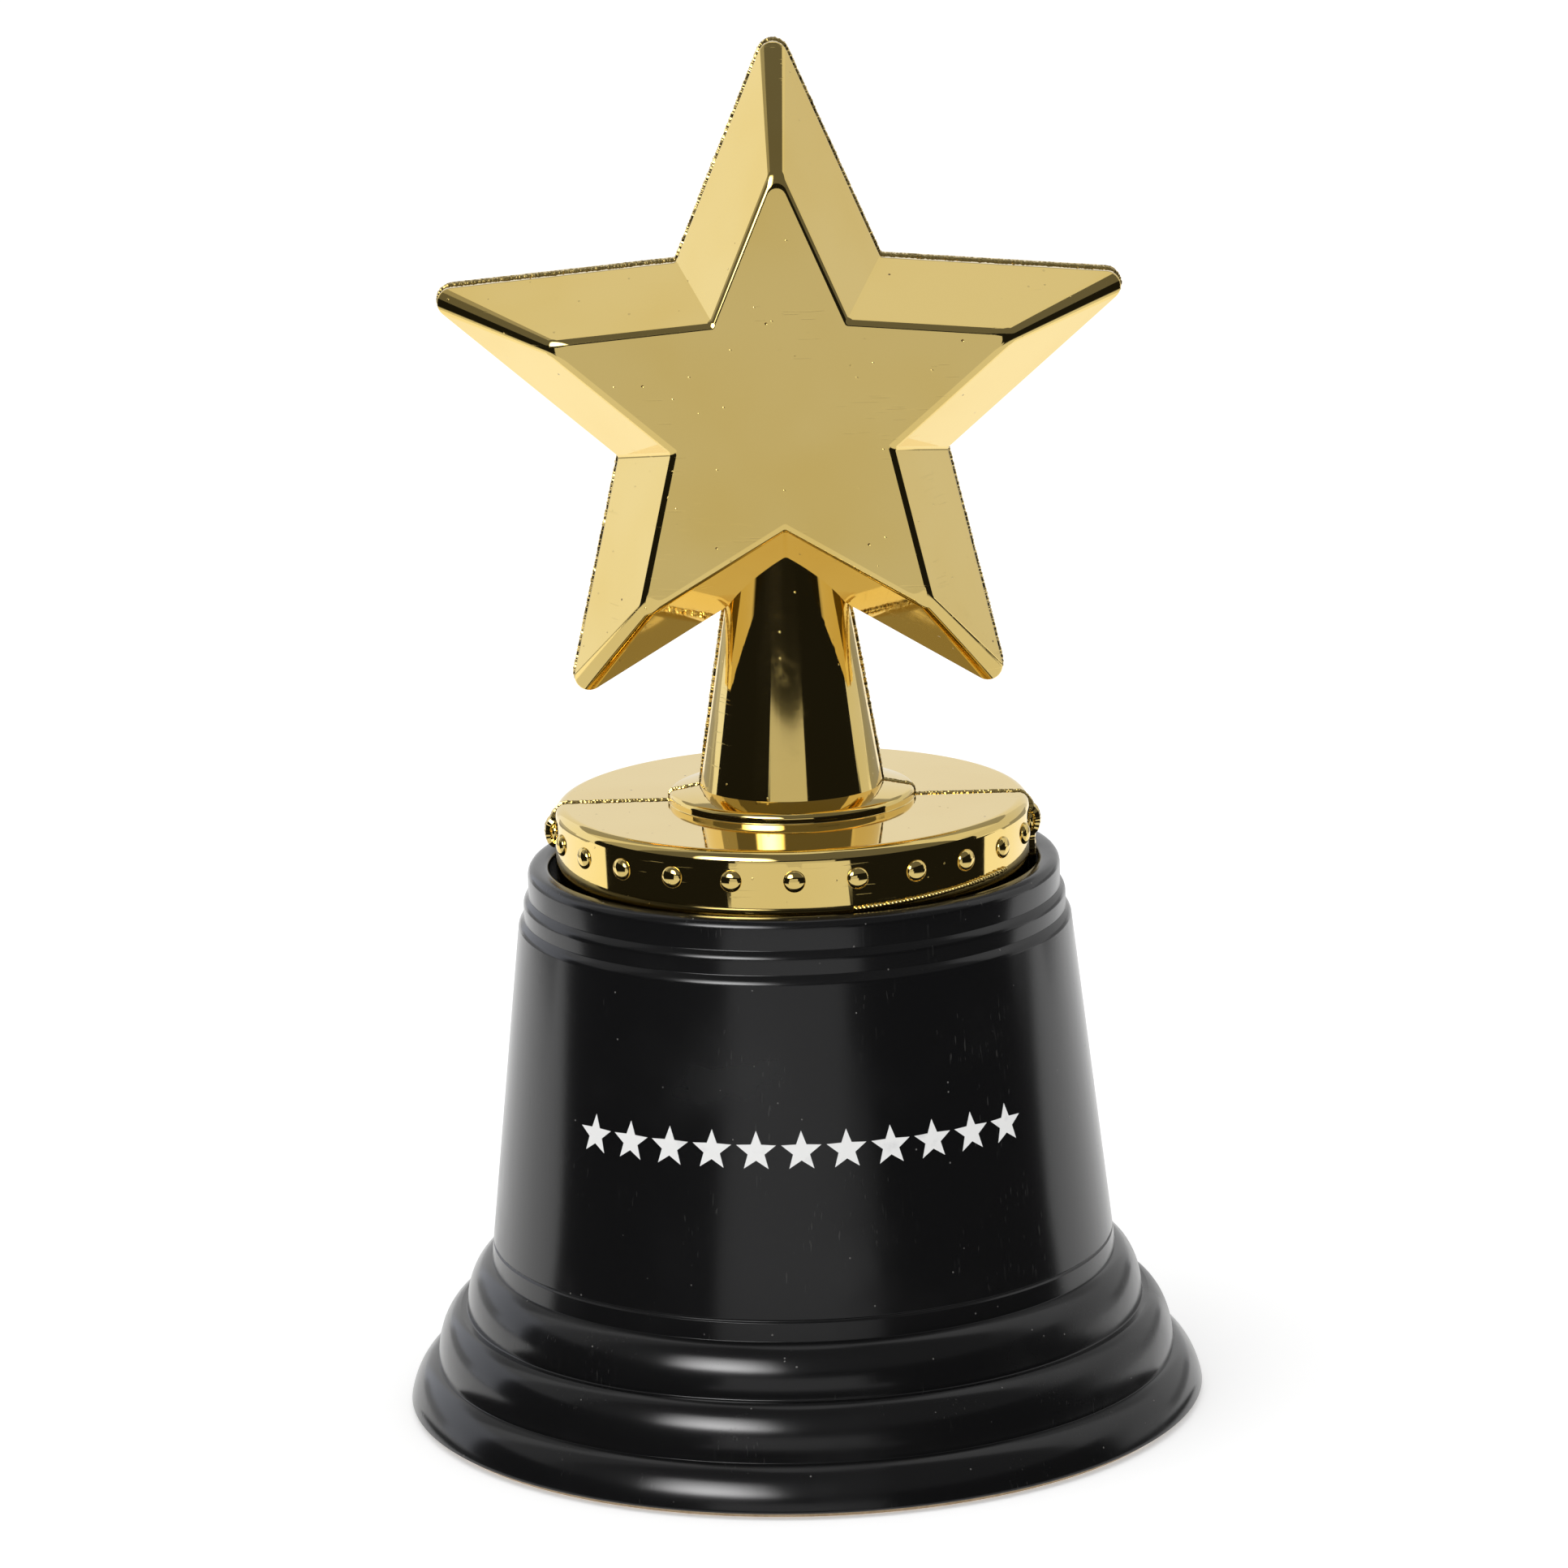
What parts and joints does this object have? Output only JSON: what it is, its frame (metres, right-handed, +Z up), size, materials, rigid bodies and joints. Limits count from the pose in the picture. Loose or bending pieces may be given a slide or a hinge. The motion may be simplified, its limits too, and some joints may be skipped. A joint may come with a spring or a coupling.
{
  "type": "star trophy",
  "caption": "Small award: a bevelled star on a tapered stem and studded disc, gold-metallised plastic, screwed into the recess of a hollow stepped black base.",
  "frame": {"origin": "centre of the underside, where the card rests on the surface the trophy stands on", "axes": "+Z up the stem to the star's top point, the star's flat front face looks along -Y, +X to the right seen from the front"},
  "size_m": [0.0664, 0.0664, 0.1133],
  "materials": {
    "base_black": "black moulded polystyrene, satin gloss, light handling scratches, printed on the front in white",
    "white_ink": "white pad-printed ink, a row of small stars in place of the buyer's own text",
    "gold_metallised": "vacuum-metallised gold mirror over moulded plastic, rough flash along the seam",
    "kraft_card": "plain kraft card",
    "zinc_steel": "bright zinc plate"
  },
  "bodies": {
    "root": {"base_shell": "base_black", "base_card": "kraft_card", "figure_front_half": "gold_metallised", "figure_rear_half": "gold_metallised", "captive_nut": "zinc_steel", "fixing_screw": "zinc_steel", "fixing_washer": "zinc_steel"}
  },
  "joints": []
}
